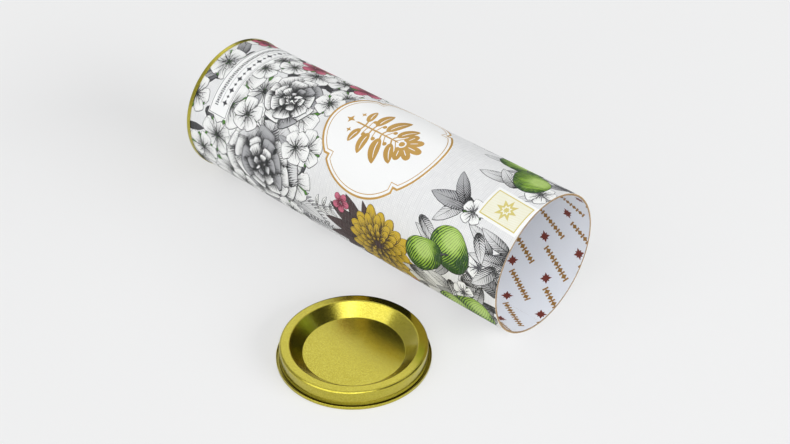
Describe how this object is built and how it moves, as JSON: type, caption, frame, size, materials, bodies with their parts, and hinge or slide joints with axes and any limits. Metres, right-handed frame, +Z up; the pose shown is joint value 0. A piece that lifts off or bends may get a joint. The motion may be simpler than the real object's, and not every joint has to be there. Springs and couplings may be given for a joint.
{
  "type": "cylindrical gift tube box",
  "caption": "Round paper gift tube with a lined bore, a clinched gold tinplate base and a gold tinplate plug lid that lies beside it.",
  "frame": {"origin": "centre of the base's standing ring, on the tube's axis", "axes": "+X along the tube's axis and out of its mouth; +Z up as the tube lies on its side; the lid lies on the -Y side"},
  "size_m": [0.235, 0.167, 0.081],
  "materials": {
    "wrap_paper": "uncoated laid paper with a printed botanical pattern",
    "kraft_board": "raw kraft board, cut edge",
    "liner_paper": "smooth matt card with a small printed repeat",
    "gold_tinplate": "satin gold lacquer on tinplate",
    "label_paper": "smooth matt paper with foil lines",
    "seal_paper": "smooth paper with fine diagonal stripes"
  },
  "bodies": {
    "tube": {"printed_wrap": "wrap_paper", "board_outer_ply": "kraft_board", "board_middle_ply": "kraft_board", "board_inner_ply": "kraft_board", "inner_liner": "liner_paper", "base_end": "gold_tinplate", "front_label": "label_paper", "info_label": "label_paper", "seal_label": "seal_paper"},
    "lid": {"lid": "gold_tinplate"}
  },
  "joints": [
    {"name": "lid_lift", "type": "slide", "parent": "tube", "child": "lid", "axis": [0, 0, 1], "range_m": [0, 0.1]}
  ]
}
